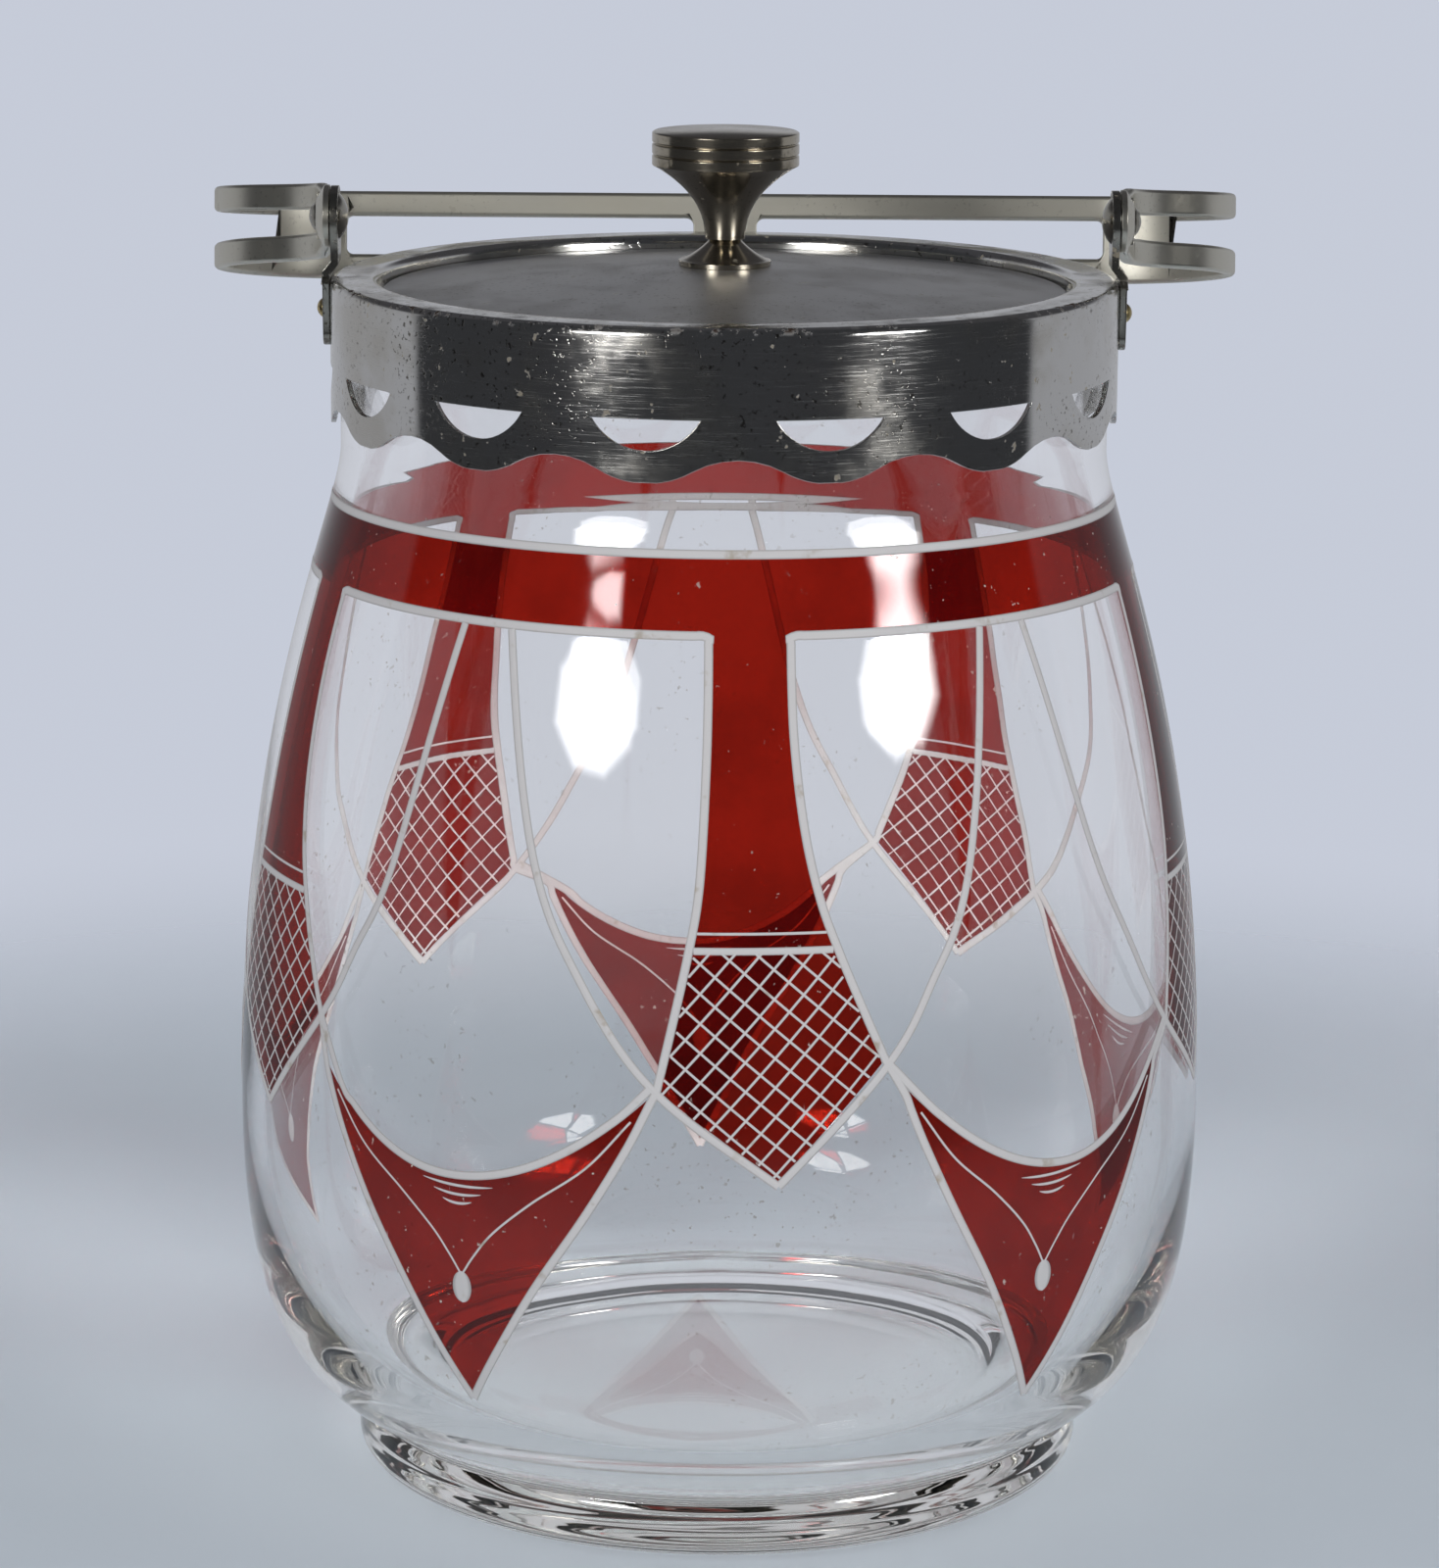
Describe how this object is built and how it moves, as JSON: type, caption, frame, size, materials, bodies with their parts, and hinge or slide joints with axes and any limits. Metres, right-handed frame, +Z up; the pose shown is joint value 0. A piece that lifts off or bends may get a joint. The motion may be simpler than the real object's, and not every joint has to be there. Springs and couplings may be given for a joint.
{
  "type": "lidded sweet jar",
  "caption": "Blown glass barrel jar with a scalloped metal collar, a drop-in lid with a turned knob and a slotted bail that swings over.",
  "frame": {"origin": "centre of the foot ring, on the surface that the jar stands on", "axes": "+Z up along the jar's axis, X along the bail's pivots, the bail folded to the rear, +Y"},
  "size_m": [0.1578, 0.1448, 0.2012],
  "materials": {
    "glass": "clear polished",
    "ruby_stain": "transparent ruby stain with frosted engraving",
    "plaster": "matte",
    "collar_nickel": "polished, worn",
    "ear_nickel": "dull, worn",
    "bail_nickel": "satin",
    "lid_nickel": "satin",
    "knob_nickel": "turned, worn",
    "brass": "dull"
  },
  "bodies": {
    "jar": {"glass_jar": "glass", "plaster_bed": "plaster", "collar": "collar_nickel", "left_ear": "ear_nickel", "right_ear": "ear_nickel", "left_ear_rivet": "brass", "right_ear_rivet": "brass", "left_pivot_rivet": "ear_nickel", "right_pivot_rivet": "ear_nickel"},
    "bail": {"bail": "bail_nickel"},
    "lid": {"lid": "lid_nickel", "knob_base": "knob_nickel", "knob": "knob_nickel", "knob_washer": "ear_nickel", "knob_screw": "brass"}
  },
  "joints": [
    {"name": "bail_swing", "type": "hinge", "parent": "jar", "child": "bail", "pos_m": [0, 0, 0.188], "axis": [1, 0, 0], "range_deg": [0, 198.6]},
    {"name": "lid_lift", "type": "slide", "parent": "jar", "child": "lid", "axis": [0, 0, 1], "range_m": [0, 0.06]}
  ]
}
